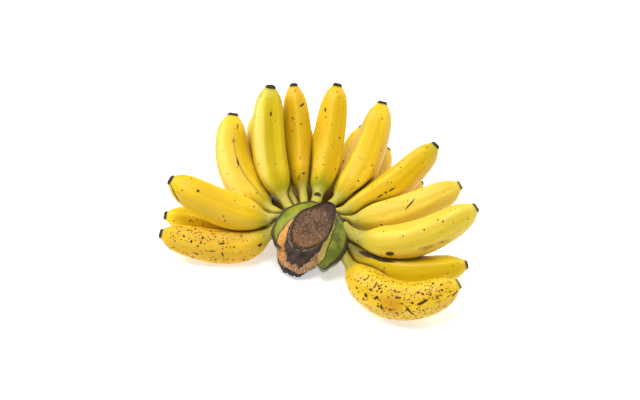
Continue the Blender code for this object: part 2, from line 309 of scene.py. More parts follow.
def stump_ring(level, angles):
    """The centre and the points of the stump's smooth oval ring at a share of its height."""
    steps = np.linspace(0, 1, len(STUMP_SECTIONS))

    def read(values):
        return eased_at(list(zip(steps, values)), level)

    centres, longs, shorts, turns, slopes = zip(*STUMP_SECTIONS)
    centre = np.array([read(axis) for axis in zip(*centres)]) * MM
    long, short = read(longs) * MM, read(shorts) * MM
    slope = math.radians(read(slopes))
    uphill = np.array([0.0, math.cos(slope), math.sin(slope)])
    turned = angles - math.radians(read(turns))
    radius = long * short / np.hypot(short * np.cos(turned), long * np.sin(turned))
    # Towards the cut, the end that points up and to the right grows narrow
    narrow = NARROW_END * soft_step(0.55, 1.0, level)
    radius = radius * (1 - narrow * (np.cos(turned) > 0) * np.sin(2 * turned) ** 2)
    spokes = np.cos(angles)[:, None] * np.array([1.0, 0, 0]) + np.sin(angles)[:, None] * uphill
    return centre, centre + radius[:, None] * spokes


def make_stump():
    levels = np.linspace(0, 1, STUMP_RINGS)
    angles = np.arange(STUMP_SIDES) / STUMP_SIDES * 2 * math.pi
    middles, rings = map(np.array, zip(*(stump_ring(level, angles) for level in levels)))
    # Strings of the rind run down the side, and the bottom is torn off unevenly
    out = units(rings - middles[:, None, :])
    strings = np.zeros(STUMP_SIDES)
    chance = np.random.default_rng(11)
    for count in (17, 26, 38, 53):
        strings += np.sin(count * angles + chance.uniform(0, 6)) / 2
    rise = STRING_RISE * MM * strings[None, :] * soft_step(1.0, 0.9, levels)[:, None]
    rings = rings + out * rise[:, :, None]
    lumps = waves(rings, 16 * MM, 7 * MM, 9, 12) * LUMP_RISE * MM * soft_step(1.0, 0.93, levels)[:, None]
    rings = rings + out * lumps[:, :, None]
    jags = np.sin(5 * angles) + 0.5 * np.sin(13 * angles + 1) + 0.35 * np.sin(29 * angles)
    rings[:, :, 2] += TEAR_DEPTH * MM * jags[None, :] * soft_step(0.12, 0.0, levels)[:, None]
    lift = TEAR_LIFT * MM * np.clip(np.cos(angles - TEAR_LIFT_ANGLE), 0, 1) ** 2
    rings[:, :, 2] += lift[None, :] * soft_step(0.45, 0.0, levels)[:, None]
    run = np.linalg.norm(np.diff(rings, axis=0), axis=2) / MM
    above_tear = np.concatenate([np.zeros((1, STUMP_SIDES)), np.cumsum(run, axis=0)])
    # The cut is dished a little inside a rim
    face = []
    rust = []
    narrow = []
    slope = math.radians(STUMP_SECTIONS[-1].slope)
    upright = np.array([0.0, -math.sin(slope), math.cos(slope)])
    shares = np.linspace(1, 0.03, CUT_RINGS)[1:]
    for share in shares:
        ring = middles[-1] + (rings[-1] - middles[-1]) * share
        inside = soft_step(0.98, 0.90, share)
        dish = -CUT_DISH * MM * inside
        rough = waves(ring, 9 * MM, 3 * MM, 12, 14) * CUT_ROUGHNESS * MM * inside
        face.append(ring + (dish + rough)[:, None] * upright)
        rust.append(soft_step(0.25, 0.9, -np.cos(angles - math.radians(60)) * share))
        narrow.append(0.85 * soft_step(0.5, 0.8, np.cos(angles - math.radians(50)) * share))

    def spread(on_side, on_cut):
        """Numbers for every point: those of the side and those of the cut."""
        both = ((on_side, STUMP_RINGS), (on_cut, len(face)))
        return np.concatenate([np.broadcast_to(part, (count, STUMP_SIDES)) for part, count in both])

    everything = np.concatenate([rings, np.array(face)])
    ends = (middles[0] + np.array([0, 0, 1.5 * MM]), face[-1].mean(axis=0))
    numbers = {
        "grain": (everything / MM, np.array(ends) / MM),
        "below_cut": (spread(above_tear[-1] - above_tear, 0.0), (40, 0)),
        "above_tear": (spread(above_tear, 40.0), (0, 40)),
        "rind_end": (spread(eased(RIND_DEPTH, np.degrees(angles)), 0.0), (10, 10)),
        "torn_height": (spread(eased(TORN_HEIGHT, np.degrees(angles)), 0.0), (4, 0)),
        "rightness": (spread((np.cos(angles + 0.5) + 1) / 2, 0.0), (0.5, 0.5)),
        "on_cut": (spread(0.0, 1.0), (0, 1)),
        "to_rim": (spread(1.0, shares[:, None]), (1, 0)),
        "rust": (spread(0.0, rust), (0, 0)),
        "narrow": (spread(0.0, narrow), (0, 0)),
    }
    finish = make_stump_finish()
    grown_piece("stalk_stump_dry", everything, ends, finish, "stalk_stump", numbers)
    return rings


stump_rings = make_stump()


# THE CROWN
# The green cushion that wraps round the stump as a horseshoe, where all the stems meet. It
# is firm smooth tissue that was sliced when the hand was cut from the bunch. Its rim has
# dried to a dark raised line, and a bare strip of orange and yellow pith lies by the stump.

CROWN_CENTRE = np.array([-6.0, -32.0, 35.0]) * MM
CROWN_TILT = math.radians(27)
CROWN_RIGHT = np.array([1.0, 0.0, 0.0])
CROWN_BACK = np.array([0.0, math.cos(CROWN_TILT), math.sin(CROWN_TILT)])
CROWN_UP = np.array([0.0, -math.sin(CROWN_TILT), math.cos(CROWN_TILT)])
# Round the cushion from its right end over the back to its left end, in degrees and mm:
# how far the rim is from the axis, how high it lies, how high the surface meets the stump,
# and how wide the strip of bare pith is
RIM_REACH = [(-72, 27.5), (-64, 30), (-50, 31.5), (-26, 33), (0, 34.3), (90, 34.4), (135, 34.6),
             (165, 34.2), (185, 32.5), (200, 29.5)]
RIM_HEIGHT = [(-72, -9), (-60, -6), (-42, -4), (-20, -2.5), (0, -2), (180, -2), (200, -3)]
STUMP_HEIGHT = [(-72, -5.5), (-60, -2.5), (-42, 1), (-20, 4), (0, 6), (60, 6.5), (140, 6.5),
                (180, 5), (200, 1)]
PITH_WIDTH = [(-72, 8), (-60, 8), (-40, 6), (-10, 3.2), (30, 2), (90, 2), (120, 2), (140, 2.6),
              (165, 4.5), (182, 8), (200, 9)]
# From the rim down to the underside: share of the rim's distance and height below it, in mm
RIM_DOWN = [(1.0, 0), (1.005, -2.5), (0.985, -8), (0.94, -14), (0.87, -18.5), (0.75, -21)]
CUSHION_STEPS = 280
TOP_SIDES = 70
DOWN_SIDES = 30
INNER_SIDES = 14
# In mm: the cushion's mean reach, how far it swells over the pith and over the green, how high
# the rim's line stands, how far in it lies, how wide it is and how much thinner at the right
# end, how deep the cushion sits in the stump, how its ends are rounded, and how far it stays
# above the table
CUSHION_REACH = 30
SWELL = 0.9
RIM_RISE = 0.55
RIM_INSET = 0.6
RIM_WIDTH = 0.8
RIM_THINNING = 1.6
SUNK_IN_STUMP = 0.4
END_ROUNDING = 4.0
CLEARANCE = 1.0


def crown_point(degrees, radius, level):
    """A point at an angle round the crown, at a distance from its axis and a height, in mm."""
    angle = math.radians(degrees)
    around = math.cos(angle) * CROWN_RIGHT + math.sin(angle) * CROWN_BACK
    outer = np.multiply.outer
    return CROWN_CENTRE + (outer(radius, around) + outer(level, CROWN_UP)) * MM


def stump_reach(degrees, levels):
    """How far the stump reaches from the cushion's axis, in mm, at an angle and at heights."""
    found_height = []
    found_reach = []
    for ring in stump_rings[::3]:
        offset = (ring - CROWN_CENTRE) / MM
        across, back = offset @ CROWN_RIGHT, offset @ CROWN_BACK
        bearing = np.degrees(np.arctan2(back, across))
        order = np.argsort(bearing)
        for found, values in ((found_height, offset @ CROWN_UP), (found_reach, np.hypot(across, back))):
            found.append(np.interp(degrees, bearing[order], values[order], period=360))
    return np.interp(levels, found_height, found_reach)


def make_crown_finish():
    finish = Finish("green_crown", 0.42)
    place = finish.place("grain")
    leftness = finish.number("leftness")
    cloud = finish.noise(place, 0.08, 3.0, 0.5)
    fibre = finish.noise(finish.place("strands"), 1.0, 4.0, 0.6)
    # Bright green at the left and dark green at the right, with a few scuffs
    green = finish.layer(leftness, "929634", "94981F")
    deep = finish.layer(leftness, "616C1E", "62701A")
    finish.colour = finish.layer(finish.step(cloud, 0.38, 0.62), deep, green)
    # Painted shade: the green is painted deeper towards the rim, where the cushion slopes away
    finish.paint(finish.step(finish.number("to_rim"), 9.0, 0.0, 0.0, 0.5), deep)
    finish.paint(finish.step(fibre, 0.52, 0.75, 0.0, 0.3), "B9C45E")
    finish.paint(finish.step(fibre, 0.44, 0.25, 0.0, 0.3), "4E5C1E")
    # Painted shade: darker olive down the cushion's sides and on its underside
    finish.paint(finish.number("under"), "6E7030")
    scuffs = finish.spots(place, 3.8, 0.45, 0.22)
    finish.paint(scuffs, "6B6A33", 0.7)
    # The strip of pith, with a thin dark line where the green begins
    ragged = finish.sway(finish.noise(place, 0.4, 3.0), 1.6)
    past_pith = finish.sum("ADD", finish.number("past_pith"), ragged)
    pith = finish.layer(leftness, "AFA544", "DB9A48")
    pith = finish.layer(finish.number("pink"), pith, "C98F66")
    pith = finish.layer(finish.step(fibre, 0.52, 0.7, 0.0, 0.6), pith, "F0D09A")
    pith = finish.layer(finish.step(fibre, 0.46, 0.3, 0.0, 0.6), pith, "9A6A2E")
    finish.paint(finish.step(past_pith, 0.25, -0.25), pith)
    line = finish.step(finish.sum("ABSOLUTE", past_pith), 0.75, 0.35)
    finish.paint(line, "4A4126", 0.85)
    # The dark dried rim
    near_rim = finish.sum("ADD", finish.number("to_rim"), finish.times(ragged, 0.5))
    finish.paint(finish.step(near_rim, 3.2, 2.2), "463D33")
    return finish.complete(finish.bump(fibre, 0.2 * MM))


def make_crown():
    left_end = RIM_REACH[-1][0]
    right_end = RIM_REACH[0][0]
    length = math.radians(left_end - right_end) * CUSHION_REACH
    across = np.linspace(0, 1, TOP_SIDES)
    down = np.linspace(0, 1, DOWN_SIDES + 1)[1:]
    turns = np.linspace(0, 1, len(RIM_DOWN))
    reach_down, height_down = (eased(list(zip(turns, column)), down) for column in zip(*RIM_DOWN))
    nothing = np.zeros(DOWN_SIDES + INNER_SIDES)
    rings = []
    kept = []
    for step in range(CUSHION_STEPS):
        share = step / (CUSHION_STEPS - 1)
        angle = right_end + (left_end - right_end) * share
        rim, rim_height = eased_at(RIM_REACH, angle), eased_at(RIM_HEIGHT, angle)
        start_height, pith = eased_at(STUMP_HEIGHT, angle), eased_at(PITH_WIDTH, angle)
        start = stump_reach(angle, start_height) - SUNK_IN_STUMP
        # Over the top: down the pith, across the green and up onto the rim
        top = start + (rim - start) * across
        drop = 0.55 * across + 0.45 * across**3
        height = start_height + (rim_height - start_height) * drop
        pith_edge = start + pith
        height = height + SWELL * soft_step(pith_edge + 0.3, pith_edge - 1.2, top)
        height = height + SWELL * np.sin(math.pi * np.clip((top - pith_edge) / (rim - pith_edge), 0, 1))
        to_rim = rim - top
        height = height + RIM_RISE * np.exp(-((to_rim - RIM_INSET) / RIM_WIDTH) ** 2)
        bearing = math.radians(angle)
        waver = 0.35 * math.sin(bearing * 9) + 0.25 * math.sin(bearing * 17 + 1)
        top = top + waver * across**4
        # Down the outside and in along the underside
        out = reach_down * (rim + waver)
        fall = rim_height + height_down
        # Back up inside the stump's skin
        levels = np.linspace(fall[-1], start_height, INNER_SIDES + 2)[1:-1]
        inner = np.minimum(stump_reach(angle, levels) - SUNK_IN_STUMP, out[-1] - 0.5)
        radii = np.concatenate([top, out, inner])
        heights = np.concatenate([height, fall, levels])
        ring = crown_point(angle, radii, heights)
        ring[:, 2] = np.maximum(ring[:, 2], CLEARANCE * MM)
        to_end = min(share, 1 - share) * length
        shrink = math.sqrt(max(1 - max(1 - to_end / END_ROUNDING, 0) ** 2, 0.03))
        centre = ring.mean(axis=0)
        rings.append(centre + (ring - centre) * shrink)
        # What the finish has to know at each point
        strand = np.stack([0.5 * angle + 0 * top, 0.22 * top, 0 * top], 1)
        to_rim = to_rim + RIM_THINNING * soft_step(-42, -66, angle)
        pink = soft_step(-35, -60, angle) * soft_step(start + 0.7 * pith, start, top)
        kept.append({
            "strands": np.concatenate([strand, np.zeros((len(nothing), 3))]),
            "to_rim": np.concatenate([to_rim, 20 * down, np.full(INNER_SIDES, 20.0)]),
            "leftness": np.full(len(ring), soft_step(40, 110, angle)),
            "under": np.concatenate([0 * top, soft_step(0.1, 0.5, down), np.ones(INNER_SIDES)]),
            "past_pith": np.concatenate([top - pith_edge, nothing + 5]),
            "pink": np.concatenate([pink, nothing]),
        })
    rings = np.array(rings)
    ends = (rings[0].mean(axis=0), rings[-1].mean(axis=0))
    numbers = {"grain": (rings / MM, np.array(ends) / MM)}
    for label in kept[0]:
        values = np.array([ring[label] for ring in kept])
        numbers[label] = (values, np.array([values[0].mean(axis=0), values[-1].mean(axis=0)]))
    grown_piece("crown_cushion", rings, ends, make_crown_finish(), "crown", numbers)


make_crown()


# THE FINGERS
# Nineteen short plump bananas in two rows. Each is one thing that grew: a round green stem
# out of the crown, a waxy yellow peel with five soft ridges, and the black dried end where
# the flower was. Fingers that touch have grown flat against each other.

ROOT_RADIUS = {"upper": 30, "lower": 28, "between": 29}
ROOT_LEVEL = {"upper": -6, "lower": -15, "between": -10}
FAN_TILT = math.radians(20)
FAN_UP = np.array([0.0, -math.sin(FAN_TILT), math.cos(FAN_TILT)])
# Along a finger: how it grows from its stem's thickness to its body's, where it is full, how
# its body tapers, and how the stem flares into the crown
GROWTH = [(0, 0), (0.12, 0.15), (0.24, 0.44), (0.4, 0.73), (0.6, 0.92), (1, 1)]
BODY_FULL = 0.46
TAPER = [(0, 1), (0.46, 1), (0.6, 0.98), (0.74, 0.92), (0.85, 0.81), (0.92, 0.65),
         (0.96, 0.46), (0.985, 0.3), (1, 0.22)]
STEM_FLARE = 0.3
FLARE_END = 0.05
# Five ridges, with how far they and their crests rise and where they fade out before the tip,
# and how uneven the peel is, all as shares of the finger's thickness or length
FINGER_RIDGES = 5
RIDGE_RISE = 0.04
CREST_RISE = 0.014
RIDGE_FADE = 0.1
PEEL_UNEVENNESS = 0.006
# The dried end: where it starts along the finger, how it is pinched in there and then stands
# out crumpled, and its dish, as shares of the edge's width with heights above the edge in mm
TIP_LIP = 0.983
TIP_PINCH = 0.06
TIP_FLARE = 0.06
TIP_CRUMPLE = 0.09
TIP_DISH = [(0.86, 0.5), (0.66, 0.1), (0.44, -0.5), (0.2, -0.8)]
LINE_STEPS = 80
FINGER_SIDES = 76
PEEL_RINGS = 120
TIP_RINGS = 8
# How far apart pressed fingers stay, the least share of its reach that a pressed place keeps,
# and how near others have to be to crowd a place
PRESS_GAP = 0.2 * MM
LEAST_SHARE = 0.1
CROWDED = 6.0 * MM

# Each finger's root row and angle, tip, sag and its lean, width and depth, stem's thickness
# and length, in mm and degrees, and how much nearer the root than the tip it sags most
Finger = namedtuple("Finger", "row angle tip sag lean width depth stem neck skew", defaults=[0.25])
UPPER_ROW = [
    Finger("upper", 154, (-139, -18.5, 27), 17, 35, 27, 31, 10, 12, 0.4),
    Finger("upper", 141, (-129, 4.5, 70.5), 9, 35, 30, 33, 10, 13),
    Finger("upper", 134, (-77, 85, 81), 24.5, 45, 34, 34, 7.5, 20, -0.1),
    Finger("upper", 122, (-41, 77, 118.5), 18, 33, 30, 32, 8, 17, 0.15),
    Finger("upper", 99, (-21, 90.5, 110.5), 16, 0, 26, 31, 7.5, 21),
    Finger("upper", 82, (19, 88.5, 112), 16, 0, 29, 31, 9.5, 16),
    Finger("upper", 68, (60, 81.5, 97), 18, -28, 31, 31, 8, 17),
    Finger("upper", 54, (108, 48, 74.5), 17, -15, 27.5, 32, 8.5, 13),
    Finger("upper", 38, (128, 12.5, 57), 11, -30, 28, 31, 8.5, 13),
    Finger("upper", 19, (138, -25, 64.5), 20, -76, 30, 31.5, 12.5, 17),
    Finger("between", -16, (120, -86, 33), 30.5, -85, 30, 34, 9.5, 16, -0.15),
]
LOWER_ROW = [
    Finger("lower", 150, (-138, 9, 23.5), 13.5, -10, 27, 29, 7, 15),
    Finger("between", 129, (-88, 93, 37), 23.5, 10, 27, 29, 7.5, 16, 0.0),
    Finger("between", 108, (-55, 98, 71), 13, 34, 27, 29, 7.5, 22, -0.75),
    Finger("lower", 94, (-14, 105.5, 56), 30.3, 0, 28, 29, 7.5, 20),
    Finger("lower", 74, (44, 102.5, 51.5), 28.5, 0, 27, 29, 7.5, 20),
    Finger("lower", 57, (67, 93, 32.5), 19, -25, 27, 29, 7.5, 18),
    Finger("lower", 37, (97, 55.5, 23.5), 15.5, -45, 26, 29, 7.5, 16),
    Finger("between", 6, (131, -52, 21.5), 18.6, -74, 27, 29, 11, 11),
]

# A mark on the peel: its place along the finger and round it, its length, width and turn
Mark = namedtuple("Mark", "along around long wide turn", defaults=[0])
# How a finger has ripened: its yellow, how green its stem and tip are, how freckled it is,
# its dark scars, its rubs and its soft amber bruises, where along it the black end starts,
# its flats of painted light and painted shade, paler or deeper, with their colours, and its
# shoulder's and neck's colours
Peel = namedtuple("Peel", "yellow stem tip freckles scars rubs bruises cap flats shoulder neck",
                  defaults=[[], [], [], 0.985, [], "BDB22C", "BDB048"])
# Painted shade: the inner side of a lower finger is painted a dull dark olive where the
# fingers above it shade it
PAINTED_SHADE_INSIDE = [(Mark(0.34, -90, 70, 40), "5A4A0C")]
# The flats in the table are painted light and painted shade: paler patches for lit facets, deeper ones
# for shaded facets, a shaded groove and the shade between two necks
PEELS = {
    "upper_finger_01": Peel("F0C01C", 0.25, 0, 0.6, [
        Mark(0.862, -58, 1.8, 2), Mark(0.817, -40, 2.2, 2.5), Mark(0.75, -26, 3.5, 2, -81),
        Mark(0.667, -48, 3.5, 1.8, -81), Mark(0.692, -16, 1.8, 2), Mark(0.621, -4, 1.4, 1.6),
        Mark(0.875, -10, 1.6, 1.8), Mark(0.696, 18, 5.5, 1.6, 6), Mark(0.5, -34, 7, 1.6, -4),
        Mark(0.492, -56, 1.3, 1.4), Mark(0.396, -22, 1.8, 2), Mark(0.492, 4, 4.5, 1.6, 75),
        Mark(0.354, 0, 1.3, 1.4), Mark(0.575, -6, 6.3, 1.3, -10), Mark(0.196, 8, 4.4, 4, 60)],
        [Mark(0.487, -82, 37.9, 1.4, -1)]),
    "upper_finger_02": Peel("F0C50C", 0.35, 0, 0.03, [
        Mark(0.762, -42, 2.7, 3), Mark(0.458, 14, 1.8, 2), Mark(0.921, 22, 22, 2.4, 33)]),
    "upper_finger_03": Peel("EFCB20", 0.3, 0, 0.03, [
        Mark(0.904, -70, 5.3, 1.6, 14), Mark(0.588, -46, 10.7, 1.6, 6)],
        [Mark(0.783, -48, 5.3, 3.6, 6), Mark(0.4, -108, 23, 1.8, 16)],
        flats=[(Mark(0.55, -84, 80, 10), "D6AC14"), (Mark(0.60, 2, 90, 12), "FCDF66"),
               (Mark(0.50, -48, 84, 1.8), "A07A12")]),
    "upper_finger_04": Peel("E2C808", 0.45, 0.45, 0.02, [Mark(0.804, -62, 4.4, 2.2)],
        flats=[(Mark(0.58, -54, 85, 9), "C6AA0C"), (Mark(0.60, -12, 90, 13), "FBE070")],
        shoulder="A9A81E"),
    "upper_finger_05": Peel("EABE14", 0.3, 0, 0.04, [
        Mark(0.842, -126, 8.7, 2, 72), Mark(0.692, -106, 1.8, 2), Mark(0.246, -72, 5.9, 1.4, 57),
        Mark(0.271, -102, 5.1, 1.4, 81), Mark(0.246, -104, 0.9, 1)],
        flats=[(Mark(0.50, -40, 85, 10), "C09A0A")]),
    "upper_finger_06": Peel("EFC415", 1.0, 0, 0.04, [
        Mark(0.8, -58, 4.1, 2.6, -16), Mark(0.6, -138, 1.8, 2), Mark(0.338, -92, 2, 1.2, 90),
        Mark(0.105, -92, 24, 5, 90), Mark(0.921, -162, 5.5, 1)], shoulder="9EAA1A"),
    "upper_finger_07": Peel("F3CA19", 0.4, 0, 0.03, [Mark(0.34, -178, 25, 3.2, 14)],
        [Mark(0.512, -160, 2.7, 2.7), Mark(0.267, -148, 7.8, 1.8)]),
    "upper_finger_08": Peel("F0C60C", 0.3, 0.5, 0.05, [
        Mark(0.408, -136, 7.8, 1.4), Mark(0.517, -140, 7.1, 1.6, 4), Mark(0.462, -136, 2.4, 2)],
        cap=0.986),
    "upper_finger_09": Peel("F4D348", 0.4, 0.1, 0.04, [
        Mark(0.325, -176, 1.8, 2), Mark(0.583, -132, 14.4, 1.5, -29)], cap=0.992),
    "upper_finger_10": Peel("F0D550", 0.5, 0.15, 0.03, [
        Mark(0.371, 134, 6.4, 3.8), Mark(0.733, -160, 1.6, 1.8), Mark(0.758, -174, 2.2, 1.4, -72),
        Mark(0.871, -146, 1.4, 1.5), Mark(0.908, 142, 1.4, 1.5)],
        [Mark(0.596, 130, 12.5, 3.6, 9), Mark(0.704, 120, 11.8, 2.7, 24)], cap=0.991),
    "upper_finger_11": Peel("F2C92A", 0.25, 0, 0.9, [
        Mark(0.525, 132, 4.2, 1.8, 72), Mark(0.667, 132, 6.4, 1.6, 62),
        Mark(0.683, 116, 5.1, 1.6, 61), Mark(0.75, 146, 9.5, 2.6, -16),
        Mark(0.946, 116, 7.2, 3, 12), Mark(0.846, -160, 2.7, 3), Mark(0.883, 164, 2.2, 2.4),
        Mark(0.417, 144, 2.7, 3, 27), Mark(0.483, 154, 2.7, 3, 27), Mark(0.475, -180, 1.8, 2),
        Mark(0.762, 172, 2.8, 2, 76), Mark(0.692, 150, 2, 2.2), Mark(0.6, 168, 2.2, 2.4, 46),
        Mark(0.425, 166, 1.8, 2)],
        [Mark(0.5, 90, 14.8, 1.4, 21)], [Mark(0.571, 144, 16.2, 16.2)], cap=0.994,
        shoulder="B89E22", neck="A3953A"),
    # This finger's yellow is painted brighter than its neighbours' as painted light, against the shade
    # it lies in under the finger above it
    "lower_finger_01": Peel("FFE014", 0.05, 0, 0.05, [Mark(0.921, -50, 1.8, 2)]),
    "lower_finger_02": Peel("F1CC23", 0.3, 0, 0.05, flats=PAINTED_SHADE_INSIDE),
    "lower_finger_03": Peel("F1CC23", 0.4, 0, 0.05),
    "lower_finger_04": Peel("F1CC23", 0.4, 0.1, 0.06, flats=PAINTED_SHADE_INSIDE),
    "lower_finger_05": Peel("F1CC23", 0.4, 0, 0.05, flats=PAINTED_SHADE_INSIDE),
    "lower_finger_06": Peel("F0CA20", 0.4, 0, 0.05, flats=PAINTED_SHADE_INSIDE),
    "lower_finger_07": Peel("EFC61E", 0.4, 0.1, 0.08),
    "lower_finger_08": Peel("E6C406", 0.45, 0, 0.03, [
        Mark(0.25, -166, 20, 5, -8), Mark(0.37, -164, 24, 2.8, -6)],
        [Mark(0.396, 158, 4.9, 2.7, -7)], cap=0.990,
        flats=[(Mark(0.16, -150, 26, 26), "6E5A14")]),
}


class Line:
    """The middle line of one finger, with its frame and half widths at even steps."""

    def __init__(self, finger):
        root = crown_point(finger.angle, ROOT_RADIUS[finger.row], ROOT_LEVEL[finger.row])
        chord = np.array(finger.tip) * MM - root
        along = unit(chord)
        sag = unit(-FAN_UP + along * (FAN_UP @ along))
        lean = math.radians(finger.lean)
        sag = sag * math.cos(lean) + np.cross(along, sag) * math.sin(lean)
        t = np.linspace(0, 1, 4 * LINE_STEPS)[:, None]
        bow = 4 * t * (1 - t) * (1 + finger.skew * (1 - 2 * t))
        path = root + chord * t + sag * finger.sag * MM * bow
        run = np.concatenate([[0], np.cumsum(np.linalg.norm(np.diff(path, axis=0), axis=1))])
        self.length = run[-1]
        self.places = np.linspace(0, 1, LINE_STEPS + 1)
        self.points = np.stack([np.interp(self.places * run[-1], run, axis) for axis in path.T], 1)
        self.tangent = units(np.gradient(self.points, axis=0))
        self.side = units(np.cross(self.tangent, sag))
        self.outward = np.cross(self.side, self.tangent)
        # The stem is round, and the body is deeper than it is wide
        neck = finger.neck * MM / self.length
        self.growth = eased(GROWTH, np.clip((self.places - neck) / (BODY_FULL - neck), 0, 1))
        taper = eased(TAPER, self.places)
        stem = finger.stem / 2 * MM * (1 + STEM_FLARE * np.clip(1 - self.places / FLARE_END, 0, 1))
        self.radius = (finger.width + finger.depth) / 4 * MM
        self.half_width = stem + self.growth * (finger.width / 2 * MM * taper - stem)
        self.half_depth = stem + self.growth * (finger.depth / 2 * MM * taper - stem)

    def at(self, values, places):
        """Values of the line at any shares of its length."""
        if values.ndim == 1:
            return np.interp(places, self.places, values)
        return np.stack([np.interp(places, self.places, axis) for axis in values.T], 1)

    def distance(self, points):
        """How far each point is outside the finger's skin, below zero inside it."""
        offset = points[:, None, :] - self.points[None, :, :]
        nearest = np.argmin(np.einsum("pij,pij->pi", offset, offset), axis=1)
        offset = offset[np.arange(len(points)), nearest]
        ahead = np.einsum("pi,pi->p", offset, self.tangent[nearest])
        step = self.length / LINE_STEPS
        place = np.clip(nearest + np.clip(ahead / step, -0.5, 0.5), 0, LINE_STEPS) / LINE_STEPS
        wide = np.interp(place, self.places, self.half_width)
        deep = np.interp(place, self.places, self.half_depth)
        mean = (wide + deep) / 2
        beyond = (ahead - np.clip(ahead, -0.5 * step, 0.5 * step)) / mean
        across = np.einsum("pi,pi->p", offset, self.side[nearest]) / wide
        outward = np.einsum("pi,pi->p", offset, self.outward[nearest]) / deep
        return (np.sqrt(across**2 + outward**2 + beyond**2) - 1) * mean


def finger_rings(line, seed):
    """Rings of points round a finger, before anything presses on it, and their centres."""
    body = np.linspace(0, TIP_LIP, PEEL_RINGS)
    cap = TIP_LIP + (1 - TIP_LIP) * np.linspace(0, 1, TIP_RINGS + 1)[1:]
    places = np.concatenate([body, cap])
    angles = np.arange(FINGER_SIDES) / FINGER_SIDES * 2 * math.pi
    growth = line.at(line.growth, places)
    fade = np.minimum(growth, np.clip((1 - places) / RIDGE_FADE, 0, 1))[:, None]
    phase = (FINGER_RIDGES * angles + math.pi / 2)[None, :]
    ridge = 1 + fade * (RIDGE_RISE * np.cos(phase) + CREST_RISE * np.cos(2 * phase))
    across = line.at(line.half_width, places)[:, None] * np.cos(angles)[None, :] * ridge
    outward = line.at(line.half_depth, places)[:, None] * np.sin(angles)[None, :] * ridge
    centres = line.at(line.points, places)
    side = line.at(line.side, places)
    deep = line.at(line.outward, places)
    spokes = across[:, :, None] * side[:, None, :] + outward[:, :, None] * deep[:, None, :]
    grain = np.stack(np.broadcast_arrays(line.radius * np.cos(angles)[None, :],
                                         line.radius * np.sin(angles)[None, :],
                                         (places * line.length)[:, None]), 2)
    # The peel is a little uneven, and the dried end is crumpled and stands out at its edge
    swells = waves(grain, 45 * MM, 18 * MM, 8, seed)
    uneven = PEEL_UNEVENNESS * swells * soft_step(0.05, 0.2, places)[:, None]
    on_cap = soft_step(TIP_LIP, TIP_LIP + 0.005, places)[:, None]
    crumple = on_cap * (TIP_FLARE + TIP_CRUMPLE * waves(grain * 3, 9 * MM, 4 * MM, 10, seed + 50))
    pinch = -TIP_PINCH * np.exp(-((places - TIP_LIP - 0.001) / 0.002) ** 2)[:, None]
    spokes = spokes * (1 + uneven + crumple + pinch)[:, :, None]
    return places, centres, spokes, grain, ridge, growth


def rows_near(other, points, reach):
    """Which points lie within reach of another finger."""
    low = other.points.min(axis=0) - reach
    high = other.points.max(axis=0) + reach
    return np.flatnonzero(((points > low) & (points < high)).all(axis=1))


def press(own, others, centres, spokes):
    """Pull points in towards the finger's middle until each neighbour has its own room."""
    flat = spokes.reshape(-1, 3)
    middles = np.repeat(centres, FINGER_SIDES, axis=0)
    share = np.ones(len(flat))
    for other in others:
        rows = rows_near(other, middles + flat, other.radius)

        def is_clear(reach, rows):
            tried = middles[rows] + flat[rows] * reach[:, None]
            return other.distance(tried) - own.distance(tried) >= PRESS_GAP

        # The range is halved until the share is close enough
        rows = rows[~is_clear(share[rows], rows)]
        least = np.full(len(rows), LEAST_SHARE)
        most = share[rows]
        for _ in range(11):
            middle = (least + most) / 2
            clear = is_clear(middle, rows)
            least = np.where(clear, middle, least)
            most = np.where(clear, most, middle)
        share[rows] = least
    share = share.reshape(spokes.shape[:2])
    # The peel bends round the edge of the pressed place
    soft = share
    for _ in range(3):
        soft = (np.roll(soft, 1, 1) + 2 * soft + np.roll(soft, -1, 1)) / 4
        soft = np.concatenate([soft[:1], (soft[:-2] + 2 * soft[1:-1] + soft[2:]) / 4, soft[-1:]])
    share = np.minimum(share, soft)
    rings = centres[:, None, :] + spokes * share[:, :, None]
    rings[:, :, 2] = np.maximum(rings[:, :, 2], 0.0)
    return rings, 1 - share


def crowding(others, rings):
    """How closely other fingers crowd each place on the peel: 1 where they touch it."""
    points = rings.reshape(-1, 3)
    gap = np.full(len(points), CROWDED)
    for other in others:
        rows = rows_near(other, points, other.radius + CROWDED)
        gap[rows] = np.minimum(gap[rows], other.distance(points[rows]))
    return (1 - np.clip(gap, 0, CROWDED) / CROWDED).reshape(rings.shape[:2])


# How deep the shape of a mark reaches into the finger, in mm
MARK_DEPTH = 12.0


def mark_shape(finish, place, line, mark, soft):
    """The strength of one long or round mark: 1 on it, 0 outside it."""
    around = math.radians(mark.around)
    radius = line.radius / MM
    spot = (radius * math.cos(around), radius * math.sin(around), mark.along * line.length / MM)
    inputs = {
        "Vector": place,
        "Location": spot,
        "Rotation": (math.radians(mark.turn), 0, around),
        "Scale": (MARK_DEPTH, mark.wide / 2, mark.long / 2),
    }
    local = finish.node("ShaderNodeMapping", inputs, vector_type="TEXTURE").outputs["Vector"]
    reach = finish.node("ShaderNodeVectorMath", {0: local}, operation="LENGTH").outputs["Value"]
    return finish.step(reach, 1.0 + soft, 1.0 - soft)


def all_marks(finish, place, line, marks, soft):
    """All marks of one kind together."""
    strength = 0.0
    for mark in marks:
        strength = finish.sum("MAXIMUM", strength, mark_shape(finish, place, line, mark, soft))
    return strength


